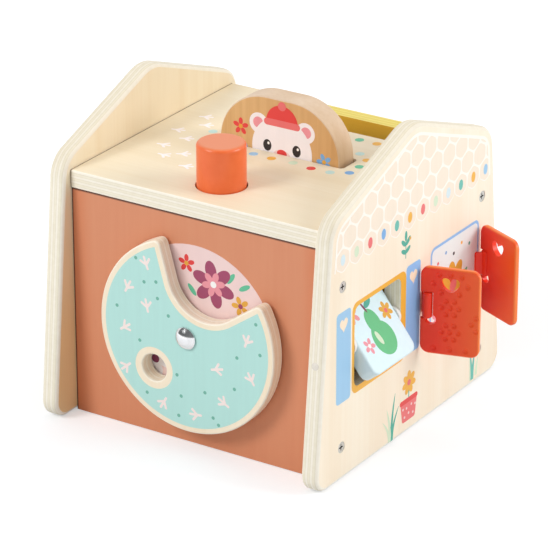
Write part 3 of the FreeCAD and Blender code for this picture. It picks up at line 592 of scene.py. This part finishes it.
class printedSheet:
    # flat shapes in millimetres on their own plane, each a thin solid layer of ink

    def __init__(self, name, body, slotName, origin, right, upward):
        self.name, self.body, self.slotName = name, body, slotName
        self.bm = bmesh.new()
        self.tones, self.laid = [], 0
        right, upward = Vector(right).normalized(), Vector(upward).normalized()
        outward = right.cross(upward)
        self.place = Matrix((right, upward, outward)).transposed().to_4x4()
        self.place.translation = Vector(origin) * mm

    def lay(self, faces, inkName, layer):
        if inkName not in self.tones:
            self.tones.append(inkName)
        for face in faces:
            face.material_index = self.tones.index(inkName)
        # shapes that overlap each end a hair higher than the one before
        self.laid = (self.laid + 1) % printing["overlapSteps"]
        overlap = printing["overlapStep"] * self.laid
        height = printing["thick"] + printing["layerStep"] * layer + overlap
        bmesh.ops.translate(self.bm, verts=raisedVerts(self.bm, faces), vec=(0, 0, height))

    def turned(self, u, v, turn, wide=1, high=1):
        spin = Matrix.Rotation(math.radians(turn), 4, "Z")
        return Matrix.Translation((u, v, 0)) @ spin @ Matrix.Diagonal((wide, high, 1, 1))

    def oval(self, u, v, wide, high, turn, inkName, layer=0, segments=28):
        made = bmesh.ops.create_circle(self.bm, cap_ends=True, segments=segments, radius=1,
                                       matrix=self.turned(u, v, turn, wide, high))
        self.lay(list({f for vert in made["verts"] for f in vert.link_faces}), inkName, layer)

    def dot(self, u, v, radius, inkName, layer=0, segments=28):
        self.oval(u, v, radius, radius, 0, inkName, layer, segments)

    def shape(self, points, inkName, layer=0, smooth=0.0):
        corners = [self.bm.verts.new((u, v, 0)) for u, v in points]
        face = self.bm.faces.new(corners)
        if smooth:
            face = self.roundCorners(corners, smooth)
        self.lay([face], inkName, layer)

    def roundCorners(self, corners, offset):
        made = bmesh.ops.bevel(self.bm, geom=corners, offset=offset, affect="VERTICES", profile=0.5,
                               segments=printing["cornerSteps"], material=-1, clamp_overlap=True)
        touched = {f for vert in made["verts"] for f in vert.link_faces}
        return max(touched, key=lambda f: f.calc_area())

    def panel(self, u, v, wide, high, corner, inkName, layer=0, turn=0):
        placed = self.turned(u, v, turn)
        signs = (-1, -1), (1, -1), (1, 1), (-1, 1)
        corners = [placed @ Vector((x * wide / 2, y * high / 2, 0)) for x, y in signs]
        self.shape([(c.x, c.y) for c in corners], inkName, layer, corner)

    def dome(self, u, v, wide, high, inkName, layer=0):
        turns = [math.radians(a) for a in range(0, 181, 10)]
        self.shape([(u + wide * math.cos(a), v + high * math.sin(a)) for a in turns], inkName, layer)

    def heart(self, u, v, wide, high, turn, inkName, layer=0):
        # the usual heart curve, brought to one unit across and up
        made = bmesh.ops.create_circle(self.bm, cap_ends=True, segments=36, radius=1)
        for vert in made["verts"]:
            t = math.atan2(vert.co.x, vert.co.y)
            curve = 13 * math.cos(t) - 5 * math.cos(2 * t) - 2 * math.cos(3 * t) - math.cos(4 * t)
            vert.co.x = math.sin(t) ** 3 / 2
            vert.co.y = (curve + 2.5) / 29
        bmesh.ops.transform(self.bm, verts=made["verts"], matrix=self.turned(u, v, turn, wide, high))
        self.lay(list({f for vert in made["verts"] for f in vert.link_faces}), inkName, layer)

    def ring(self, outer, inner, inkName, layer=0):
        edges = []
        for points in (outer, inner):
            verts = [self.bm.verts.new((u, v, 0)) for u, v in points]
            edges += [self.bm.edges.new((verts[i - 1], verts[i])) for i in range(len(verts))]
        self.lay(bmesh.ops.bridge_loops(self.bm, edges=edges)["faces"], inkName, layer)

    def blade(self, u, v, height, lean, width, inkName, layer=0):
        # a leaf of grass that bends over by lean
        left, right = [], []
        for i in range(bladeShape["steps"] + 1):
            t = i / bladeShape["steps"]
            half = width / 2 * (1 - t ** 2) ** bladeShape["taper"] + bladeShape["tip"]
            left.append((u + lean * t * t - half, v + height * t))
            right.append((u + lean * t * t + half, v + height * t))
        self.shape(right + left[::-1], inkName, layer)

    def track(self, u, v, size, turn, inkName, layer=0):
        for toe, share in trackShape["toes"]:
            spin = math.radians(turn + toe)
            reach = size * trackShape["reach"] * share
            wide, long = size * trackShape["wide"], reach * 2 + size * trackShape["overhang"]
            self.panel(u - math.sin(spin) * reach, v + math.cos(spin) * reach, wide, long,
                       size * trackShape["corner"], inkName, layer, turn + toe)

    def flower(self, u, v, reach, petals, petalInk, heartInk, turn=0, layer=0):
        out = petalShape["out"]
        for i in range(petals):
            spin = math.radians(turn + 360 * i / petals)
            self.oval(u - math.sin(spin) * reach * out, v + math.cos(spin) * reach * out,
                      reach * petalShape["wide"], reach * petalShape["long"], math.degrees(spin),
                      petalInk, layer, 20)
        self.dot(u, v, reach * petalShape["middle"], heartInk, layer + 1, 20)

    def draw(self, marks):
        # each mark is the name of a shape and then what that shape takes
        kinds = {"oval": self.oval, "dot": self.dot, "shape": self.shape, "panel": self.panel,
                 "dome": self.dome, "blade": self.blade, "flower": self.flower}
        for kind, *values in marks:
            kinds[kind](*values)

    def finish(self):
        bmesh.ops.transform(self.bm, verts=self.bm.verts, matrix=self.place @ Matrix.Scale(mm, 4))
        addPiece(self.name, self.bm, self.tones, self.body)


def roundedLoop(low, high, corner, steps=6):
    left, right = low[0] + corner, high[0] - corner
    bottom, top = low[1] + corner, high[1] - corner
    points = []
    for x, y, start in ((right, top, 0), (left, top, 90), (left, bottom, 180), (right, bottom, 270)):
        for i in range(steps + 1):
            a = math.radians(start + 90 * i / steps)
            points.append((x + corner * math.cos(a), y + corner * math.sin(a)))
    return points


print("stage: disc print")
disc = {
    "x": 1.4, "z": 78.3, "front": -103.7, "border": 2.8,
    "boreWithin": 9, "boreEdge": 3.4,
    "hole": (-24.4, -26.6), "holeWithin": 15, "holeBorder": 4.0,
    "trackSize": 7.4, "dotRadius": 1.2,
    "tracks": [  # across, up from the disc's middle, turn
        (-29, 43, 20), (-44, 24, -28), (-29, 14, 12), (-47, -4, -55), (-17, -48, 150), (8, -51, 96),
        (29, -38, 60), (49, -17, 30), (45, 8, -20), (-45, -30, 130), (22, -16, -75),
    ],
    "dots": [
        (-37, 46), (-22, 33), (-31, 31), (-52, 10), (-21, 22), (-13, 12), (-35, -10), (-30, -45),
        (-4, -41), (20, -50), (24, -54), (14, -34), (38, -4), (52, 22), (55, 2), (-6, -55),
        (-7, -27), (36, -26),
    ],
}


def discPrint():
    # the face of the disc itself, drawn in by the width of the bare border
    bm = bmesh.new()
    bm.from_mesh(nodes["turning_disc"].data)
    bmesh.ops.remove_doubles(bm, verts=bm.verts, dist=weld)
    front = disc["front"] * mm
    others = [f for f in bm.faces if any(abs(v.co.y - front) > weld for v in f.verts)]
    bmesh.ops.delete(bm, geom=others, context="FACES")
    border = bmesh.ops.inset_region(bm, faces=list(bm.faces), thickness=disc["border"] * mm,
                                    use_even_offset=True, use_boundary=True)["faces"]
    bmesh.ops.delete(bm, geom=border, context="FACES")
    # the print runs in to the bolt, and stays farther from the finger hole
    middle = Vector((disc["x"] * mm, front, disc["z"] * mm))
    hole = Vector(((disc["x"] + disc["hole"][0]) * mm, front, (disc["z"] + disc["hole"][1]) * mm))
    for v in bm.verts:
        fromBolt = Vector((v.co.x - disc["x"] * mm, 0, v.co.z - disc["z"] * mm))
        fromHole = v.co - hole
        if fromBolt.length < disc["boreWithin"] * mm:
            v.co = middle + fromBolt.normalized() * disc["boreEdge"] * mm
        elif fromHole.length < disc["holeWithin"] * mm:
            v.co += fromHole.normalized() * (disc["holeBorder"] - disc["border"]) * mm
    lifted = raisedVerts(bm, list(bm.faces))
    bmesh.ops.translate(bm, verts=lifted, vec=(0, -printing["thick"] * mm, 0))
    addPiece("disc_print", bm, ["teal"], "disc")


def discMotifs():
    sheet = printedSheet("disc_motifs", "disc", "teal_disc", (disc["x"], disc["front"], disc["z"]),
                         (1, 0, 0), (0, 0, 1))
    for u, v, turn in disc["tracks"]:
        sheet.track(u, v, disc["trackSize"], turn, "trackPink", 1)
    for u, v in disc["dots"]:
        sheet.dot(u, v, disc["dotRadius"], "discDot", 1, 16)
    sheet.finish()


discPrint()
discMotifs()

print("stage: picture behind the disc")
bloom = {
    "x": 1.4, "z": 78.3, "panel": -91.7, "reach": 58.3, "bare": 9.3,
    "ringStep": 5,
    "sprays": [(0, True), (90, True), (198, False), (270, True)],  # turn, and if small flowers go along
    "flowers": [  # across, up, reach, petals, petal ink, heart ink, turn, layer
        (13, 35, 15.5, 6, "plum", "deepYellow", 12, 1), (13, 35, 8.5, 6, "blossom", "white", 42, 2),
    ],
    "smallFlowers": [
        (-7, 45, 6.0, 5, "red", "deepYellow", 0, 1), (33, 25, 6.5, 5, "deepYellow", "plum", 20, 1),
    ],
    "leaves": [(26, 42, -35), (-3, 28, 40), (36, 38, -60)],
    "leafSize": (1.7, 4.6),
    "paleFlower": (-31.5, -26.5, 11.0, 6, "faceWhite", "plumDark", 200, 1),
}


def flowerPicture():
    sheet = printedSheet("front_flower_picture", "housing", "terracotta_board",
                         (bloom["x"], bloom["panel"], bloom["z"]), (1, 0, 0), (0, 0, 1))

    def circle(radius):
        turns = [math.radians(a) for a in range(0, 360, bloom["ringStep"])]
        return [(radius * math.cos(a), radius * math.sin(a)) for a in turns]

    def spun(u, v, degrees):
        turn = math.radians(degrees)
        return u * math.cos(turn) - v * math.sin(turn), u * math.sin(turn) + v * math.cos(turn)

    sheet.ring(circle(bloom["reach"]), circle(bloom["bare"]), "pink")
    for spray, small in bloom["sprays"]:
        flowers = bloom["flowers"] + (bloom["smallFlowers"] if small else [])
        for u, v, reach, petals, petalInk, heartInk, turn, layer in flowers:
            sheet.flower(*spun(u, v, spray), reach, petals, petalInk, heartInk, spray + turn, layer)
        for u, v, lean in bloom["leaves"]:
            sheet.oval(*spun(u, v, spray), *bloom["leafSize"], lean + spray, "leafGreen", 1, 18)
    sheet.flower(*bloom["paleFlower"])
    sheet.finish()


flowerPicture()

print("stage: roof scales and wall prints")
gable = {
    "floorDepth": 115.6, "flare": 5.6, "apex": 210.3, "slope": 20.0,
    "apexRound": 30.0, "eaveRound": 20.0,
}
scales = {
    "pitch": 15.9, "rowPitch": 13.0, "first": -85.8, "level": 148.8, "rows": 5, "inset": 7.2,
    "layers": ((-0.05, 0, "scaleLine", 0), (0.85, 2.0, "peach", 1)),  # drawn in, corner, ink, layer
    "footCorner": 2.6,
    "lineInset": 6.0, "border": 1.3, "lineFoot": 6, "lineEndInset": 6.0,
    "dotSize": (2.6, 3.6),
    "dots": [
        "paleBlue", "paleGreen", "coral", "blue", "dotTeal", "yellow", "coral", "paleGreen", "paleBlue",
        "dotTeal", "yellow", "skyBlue",
    ],
}
wall = 104.5


def gableSpots(inset, steps=8):
    # points of the gable's outline drawn in by inset, each with its outward direction
    flare, slope = math.radians(gable["flare"]), math.radians(gable["slope"])
    lean, pitch = math.tan(flare), math.tan(slope)
    eaveY = (gable["floorDepth"] - lean * gable["apex"]) / (1 - lean * pitch)
    eaveZ = gable["apex"] - pitch * eaveY
    side, roof = math.pi - flare, math.pi / 2 + slope

    def centre(corner, first, second, reach):
        rows = Matrix(((math.cos(first), math.sin(first)), (math.cos(second), math.sin(second))))
        return rows.inverted() @ (rows @ Vector(corner) - Vector((reach, reach)))

    eave = centre((-eaveY, eaveZ), side, roof, gable["eaveRound"])
    apex = centre((0, gable["apex"]), roof, math.pi - roof, gable["apexRound"])
    arcs = (
        (eave, gable["eaveRound"], side, roof),
        (apex, gable["apexRound"], roof, math.pi - roof),
        (Vector((-eave.x, eave.y)), gable["eaveRound"], math.pi - roof, math.pi - side),
    )
    spots = []
    for middle, reach, start, end in arcs:
        for i in range(steps + 1):
            a = start + (end - start) * i / steps
            out = Vector((math.cos(a), math.sin(a)))
            spots.append((middle + out * (reach - inset), out))
    return spots


def scaleCells(sheet, drawnIn, corner):
    # rows of rounded hexagons, trimmed to the gable
    faces = []
    pitch, columns = scales["pitch"], len(scales["dots"])
    squash = scales["rowPitch"] / (pitch * math.sqrt(3) / 2)
    for row in range(scales["rows"]):
        level = scales["level"] + row * scales["rowPitch"]
        for column in range(-1, columns + 1):
            across = scales["first"] + (column - 0.5 * (row % 2)) * pitch
            if row == 0 and not 0 <= column < columns:
                continue
            made = bmesh.ops.create_circle(sheet.bm, cap_ends=True, segments=6,
                                           radius=pitch / math.sqrt(3) - drawnIn,
                                           matrix=sheet.turned(across, level, 0, 1, squash))
            verts = made["verts"]
            if not corner:
                verts = [v for v in verts if row == 0 and v.co.y < level]
            if verts:
                faces.append(sheet.roundCorners(verts, corner or scales["footCorner"]))
            else:
                faces.append(made["verts"][0].link_faces[0])
    # lists rather than sets, so that the cells come in the same order in every run
    parts = [part for face in faces for part in (face, *face.edges, *face.verts)]
    for spot, out in gableSpots(scales["inset"] + drawnIn):
        kept = bmesh.ops.bisect_plane(sheet.bm, geom=parts, plane_co=(spot.x, spot.y, 0),
                                      plane_no=(out.x, out.y, 0), clear_outer=True)["geom"]
        parts = [part for part in kept if part.is_valid]
    return [part for part in parts if isinstance(part, bmesh.types.BMFace)]


def gableLine(inset, end):
    low = scales["level"] - scales["lineFoot"]
    return [(-end, low)] + [(spot.x, spot.y) for spot, out in gableSpots(inset)] + [(end, low)]


def roofScales():
    sheet = printedSheet("right_wall_roof_scales", "housing", "birch_board", (wall, 0, 0),
                         (0, 1, 0), (0, 0, 1))
    for drawnIn, corner, name, layer in scales["layers"]:
        for cell in scaleCells(sheet, drawnIn, corner):
            sheet.lay([cell], name, layer)
    slant = math.tan(math.radians(gable["flare"]))
    end = gable["floorDepth"] - slant * (scales["level"] - scales["lineFoot"]) - scales["lineEndInset"]
    outerLine = gableLine(scales["lineInset"], end)
    innerLine = gableLine(scales["lineInset"] + scales["border"], end - scales["border"])
    sheet.shape(outerLine + innerLine[::-1], "scaleLine", 2)
    for i, name in enumerate(scales["dots"]):
        across = scales["first"] + i * scales["pitch"]
        sheet.oval(across, scales["level"], *scales["dotSize"], 0, name, 2, 24)
    sheet.finish()


roofScales()

wallArt = {
    "frameOuter": ((-74.1, 53.4), (-9.7, 115.0), 5.5),  # low corner, high corner, rounding
    "frameInner": ((-71.5, 57.6), (-15.9, 112.0), 5.15),
    "shutters": [
        ((-92.5, 53.2), (-75.8, 114.4), "skyBlue"), ((-9.5, 54.6), (8.0, 116.0), "shutterBlue"),
    ],
    "shutterCorner": 2.6, "heart": (9.2, 9.4), "heartBelowTop": 9.8,
    "picture": [
        ("panel", 51.4, 84.5, 61.8, 65.0, 5.0, "shutterBlue"),
        ("panel", 51.4, 84.5, 58.0, 61.2, 3.6, "paleGrey", 1),
        ("flower", 50, 82, 17, 8, "deepYellow", "coral", 10, 2),
        ("flower", 32, 66, 9, 6, "blossom", "deepYellow", 0, 2),
        ("flower", 70, 66, 9, 6, "blue", "white", 30, 2),
        ("oval", 38, 84, 1.9, 6.5, 50, "green", 2, 18),
        ("oval", 63, 84, 1.9, 6.5, -50, "green", 2, 18),
        ("oval", 44, 62, 1.9, 6.5, 15, "green", 2, 18),
        ("oval", 58, 62, 1.9, 6.5, -15, "green", 2, 18),
        ("dot", 30, 104, 1.2, "coral", 2, 14),
        ("dot", 40, 108, 1.2, "blue", 2, 14),
        ("dot", 50, 104, 1.2, "ink", 2, 14),
        ("dot", 60, 108, 1.2, "yellow", 2, 14),
        ("dot", 70, 104, 1.2, "darkTeal", 2, 14),
    ],
    "sprig": [
        ("oval", -13.4, 133.6, 1.5, 3.6, 48, "darkTeal", 0, 18),
        ("oval", -8.0, 133.8, 1.5, 3.6, -48, "darkTeal", 0, 18),
        ("oval", -13.0, 127.6, 1.5, 3.6, 62, "darkTeal", 0, 18),
        ("oval", -8.4, 127.8, 1.5, 3.6, -62, "darkTeal", 0, 18),
        ("oval", -10.7, 137.6, 1.5, 3.6, 0, "darkTeal", 0, 18),
        ("panel", -10.7, 129.0, 0.7, 13.0, 0.2, "darkTeal"),
        ("dot", -5.6, 134.6, 1.1, "deepYellow", 1, 14),
    ],
    "flowerPot": [
        ("shape", [(-11.8, 8.0), (3.8, 8.0), (6.2, 22.0), (-14.2, 22.0)], "coral", 0, 1.6),
        ("panel", -4.0, 22.4, 22.0, 3.4, 1.5, "red", 1),
        ("dot", -9, 11.5, 0.9, "pink", 1, 12),
        ("dot", -4.0, 13, 0.9, "pink", 1, 12),
        ("dot", 1.4, 11.5, 0.9, "pink", 1, 12),
        ("dot", -6.6, 17, 0.9, "pink", 1, 12),
        ("dot", -0.6, 18, 0.9, "pink", 1, 12),
        ("dot", 4.0, 16.6, 0.9, "pink", 1, 12),
        ("dot", -11.0, 17.6, 0.9, "pink", 1, 12),
        ("panel", -4.0, 27.0, 1.0, 7.0, 0.3, "darkTeal"),
        ("flower", -4.0, 34.5, 8.2, 7, "yellow", "coral", 0, 1),
    ],
    "grass": [  # foot, height, lean, width, ink
        ("blade", -27.8, 1.8, 17, -8.5, 2.6, "paleGreen"),
        ("blade", -25.4, 1.6, 32, 4.4, 2.6, "darkTeal"),
        ("blade", -26.8, 1.8, 24, -4.4, 2.6, "paleGreen"),
        ("blade", -24.6, 1.8, 21, 8.2, 2.6, "darkTeal"),
        ("blade", 76.2, 3.4, 21, -1.6, 2.6, "paleGreen"),
        ("blade", 77.6, 3.4, 22, -3.4, 2.6, "dotTeal"),
        ("blade", 78.6, 3.4, 22, 3.0, 2.6, "dotTeal"),
        ("blade", 83.2, 5.0, 13, 2.6, 2.6, "paleGreen"),
    ],
}


def wallPrints():
    sheet = printedSheet("right_wall_prints", "housing", "birch_board", (wall, 0, 0),
                         (0, 1, 0), (0, 0, 1))
    outer, inner = roundedLoop(*wallArt["frameOuter"]), roundedLoop(*wallArt["frameInner"])
    sheet.ring(outer, inner, "yellow", 1)
    for low, high, name in wallArt["shutters"]:
        across, up = (low[0] + high[0]) / 2, (low[1] + high[1]) / 2
        sheet.panel(across, up, high[0] - low[0], high[1] - low[1], wallArt["shutterCorner"], name)
        sheet.heart(across, high[1] - wallArt["heartBelowTop"], *wallArt["heart"], 0, "birchShow", 1)
    for part in ("picture", "sprig", "flowerPot", "grass"):
        sheet.draw(wallArt[part])
    sheet.finish()


wallPrints()

print("stage: top board prints")
topBoard = {
    "level": 167.2, "dotRadius": 3.0, "trackSize": 7.6,
    "dots": [
        (-53.6, 10.8, "paleTeal"), (-10.2, -8.1, "skyBlue"), (3.6, -8.4, "yellow"),
        (19.2, -7.5, "paleGreen"), (33.7, -9.3, "red"), (47.3, -8.5, "paleTeal"),
        (58.0, -2.7, "blue"), (58.0, 9.3, "leafGreen"), (56.3, 21.3, "yellow"),
        (46.8, 28.4, "paleTeal"), (46.9, 49.1, "yellow"), (33.9, 49.0, "leafGreen"),
        (-24.0, -8.2, "coral"), (-38.0, -8.0, "paleGreen"), (-51.0, -2.0, "yellow"),
        (-50.5, 22.0, "coral"), (-40.0, 29.0, "blue"), (-26.0, 29.5, "leafGreen"),
        (-11.0, 29.0, "paleTeal"), (4.0, 29.5, "coral"), (19.0, 29.0, "skyBlue"),
        (33.0, 29.5, "yellow"),
    ],
    "tracks": [
        (-72.9, 29.7, -70), (-64.5, 17.2, -62), (-75.4, 0.9, -75), (-62.0, -9.3, -66),
        (-68.7, -25.6, -84), (-48.7, -32.6, -60), (-58.4, -40.0, -92), (-35.8, -48.8, -72),
    ],
}


def topPrints():
    sheet = printedSheet("top_board_prints", "housing", "birch_board", (0, 0, topBoard["level"]),
                         (1, 0, 0), (0, 1, 0))
    for u, v, name in topBoard["dots"]:
        sheet.dot(u, v, topBoard["dotRadius"], name, 0, 24)
    for u, v, turn in topBoard["tracks"]:
        sheet.track(u, v, topBoard["trackSize"], turn, "paleRose")
    sheet.finish()


topPrints()

print("stage: pop-up animal picture")
bear = {
    "x": 5.5, "backX": 1.1, "z": 165.0, "front": 1.0, "back": 18.6,
    # pairs: across, shift, up, half width, half height, lean, ink, layer, segments
    "ears": [
        (17.5, 0, 20.0, 7.0, 7.0, 0, "faceWhite", 0, 32),
        (17.9, 0, 20.4, 3.8, 3.8, 0, "blossom", 1, 28),
    ],
    "features": [
        (11.0, 0, 6.4, 3.1, 3.9, 0, "ink", 3, 24), (11.0, 0.9, 7.9, 0.85, 0.95, 0, "white", 4, 12),
        (14.4, 0, -2.4, 3.2, 2.3, 0, "pink", 3, 20), (2.3, 0, -4.2, 2.6, 0.5, 22, "plumDark", 4, 16),
    ],
    "headAndHat": [
        ("dot", 0, 4.5, 22.5, "faceWhite", 2, 64),
        ("dome", 0, 22.5, 12.0, 12.5, "red", 3),
        ("panel", 0, 22.6, 27.0, 4.6, 2.2, "coral", 4),
        ("dot", 0, 34.6, 3.0, "coral", 4, 28),
    ],
    "muzzleAndScarf": [
        ("oval", 0, -1.0, 7.4, 6.2, 0, "pink", 3, 28),
        ("oval", 0, 2.6, 3.7, 2.7, 0, "red", 4, 24),
        ("panel", 0, -17.0, 30.0, 5.4, 2.6, "blue", 4),
        ("panel", 7.0, -23.0, 5.4, 14.0, 2.2, "blue", 3, -8),
        ("flower", -31.2, 15.0, 5.8, 5, "red", "deepYellow", 0, 0),
        ("flower", 31.5, 3.5, 5.6, 5, "blue", "deepYellow", 20, 0),
        ("dot", -31.0, 1.5, 5.0, "blue", 0, 24),
        ("dot", -31.0, 1.5, 2.6, "deepYellow", 1, 20),
    ],
}


def bothSides(sheet, pairs):
    for side in (-1, 1):
        for across, shift, up, wide, high, lean, inkName, layer, segments in pairs:
            sheet.oval(side * across + shift, up, wide, high, side * lean, inkName, layer, segments)


def bearFace(name, origin, right):
    # a plain bear in a small red hat, drawn for this board
    sheet = printedSheet(name, "pop_up", "bare_wood", origin, right, (0, 0, 1))
    bothSides(sheet, bear["ears"])
    sheet.draw(bear["headAndHat"])
    bothSides(sheet, bear["features"])
    sheet.draw(bear["muzzleAndScarf"])
    sheet.finish()


bearFace("pop_up_bear_front", (bear["x"], bear["front"], bear["z"]), (1, 0, 0))
bearFace("pop_up_bear_back", (bear["backX"], bear["back"], bear["z"]), (-1, 0, 0))

print("stage: tile pictures")
tile = {
    "centre": (98.5, -43.7, 84.8), "tilt": 37.4, "half": 6.0, "sheet": (47.2, 49.2), "corner": 4.8,
    "pear": [  # a green pear on a stalk with blossom
        ("oval", 1.5, -8.5, 11.0, 11.5, 0, "green", 1, 40),
        ("oval", 0.0, 3.5, 6.6, 9.0, 6, "green", 1, 32),
        ("oval", -3.0, -7.0, 2.0, 5.0, 12, "paleGreen", 2, 20),
        ("oval", -1.4, 14.0, 0.9, 4.0, 14, "plumDark", 2, 14),
        ("oval", 4.0, 15.5, 5.0, 2.1, 22, "darkTeal", 2, 20),
        ("flower", -15.0, 14.0, 6.6, 5, "blossom", "deepYellow", 8, 1),
        ("flower", -15.5, -8.0, 5.4, 5, "blossom", "white", 40, 1),
        ("flower", 16.5, 5.0, 6.2, 6, "deepYellow", "coral", 0, 1),
        ("dot", 15.0, 19.0, 1.6, "coral", 1, 16),
        ("dot", -6.0, 20.5, 1.3, "blue", 1, 16),
    ],
    "apple": [  # an apple with a leaf and a flower
        ("oval", -5.0, -3.0, 9.5, 11.5, 4, "coral", 1, 36),
        ("oval", 5.0, -3.0, 9.5, 11.5, -4, "coral", 1, 36),
        ("oval", 0.8, 11.5, 0.9, 4.6, -12, "plumDark", 2, 14),
        ("oval", 7.0, 13.0, 5.6, 2.3, 24, "green", 2, 20),
        ("flower", -16.0, 15.5, 5.8, 5, "deepYellow", "white", 10, 1),
    ],
}


def tilePicture(name, way, marks):
    lean = math.radians(tile["tilt"])
    upward = Vector((-math.sin(lean), 0, math.cos(lean)))
    outward = Vector((math.cos(lean), 0, math.sin(lean))) * way
    origin = Vector(tile["centre"]) + outward * tile["half"]
    sheet = printedSheet(name, "tile", "pale_tile", origin, (0, way, 0), upward)
    sheet.panel(0, 0, *tile["sheet"], tile["corner"], "tileBlue")
    sheet.draw(marks)
    sheet.finish()


tilePicture("tile_pear_picture", 1, tile["pear"])
tilePicture("tile_apple_picture", -1, tile["apple"])
